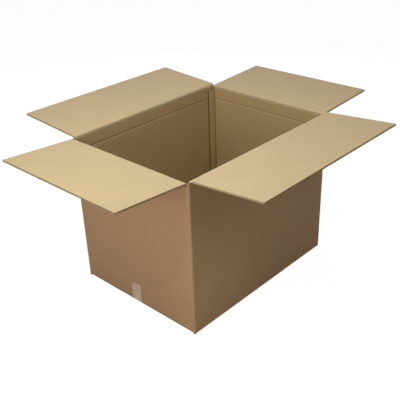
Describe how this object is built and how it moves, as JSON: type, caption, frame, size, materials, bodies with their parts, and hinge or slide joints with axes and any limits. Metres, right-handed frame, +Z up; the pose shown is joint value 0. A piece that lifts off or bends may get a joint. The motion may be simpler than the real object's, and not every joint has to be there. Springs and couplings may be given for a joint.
{
  "type": "open cardboard box",
  "caption": "Large slotted carton of double-wall corrugated board, taped shut below and standing open, with hinged top flaps.",
  "frame": {"origin": "on the floor, under the middle of the box with its flaps as they stand", "axes": "+X along the box's length, +Y along its width, +Z up"},
  "size_m": [1.4247, 1.2242, 0.6602],
  "materials": {
    "kraft_board": "matt kraft liner",
    "clear_tape": "satin"
  },
  "bodies": {
    "box": {"folded_box": "kraft_board", "bottom_tape": "clear_tape"},
    "right_flap": {"right_top_flap": "kraft_board"},
    "back_flap": {"back_top_flap": "kraft_board"},
    "left_flap": {"left_top_flap": "kraft_board"},
    "front_flap": {"front_top_flap": "kraft_board"}
  },
  "joints": [
    {"name": "right_flap_crease", "type": "hinge", "parent": "box", "child": "right_flap", "pos_m": [0.4072, 0, 0.6216], "axis": [0, -1, 0], "range_deg": [-92.8, 177.2]},
    {"name": "back_flap_crease", "type": "hinge", "parent": "box", "child": "back_flap", "pos_m": [0, 0.3072, 0.629], "axis": [1, 0, 0], "range_deg": [-93.6, 176.4]},
    {"name": "left_flap_crease", "type": "hinge", "parent": "box", "child": "left_flap", "pos_m": [-0.4072, 0, 0.6216], "axis": [0, 1, 0], "range_deg": [-93.9, 176.1]},
    {"name": "front_flap_crease", "type": "hinge", "parent": "box", "child": "front_flap", "pos_m": [0, -0.3072, 0.629], "axis": [-1, 0, 0], "range_deg": [-94.5, 175.5]}
  ]
}
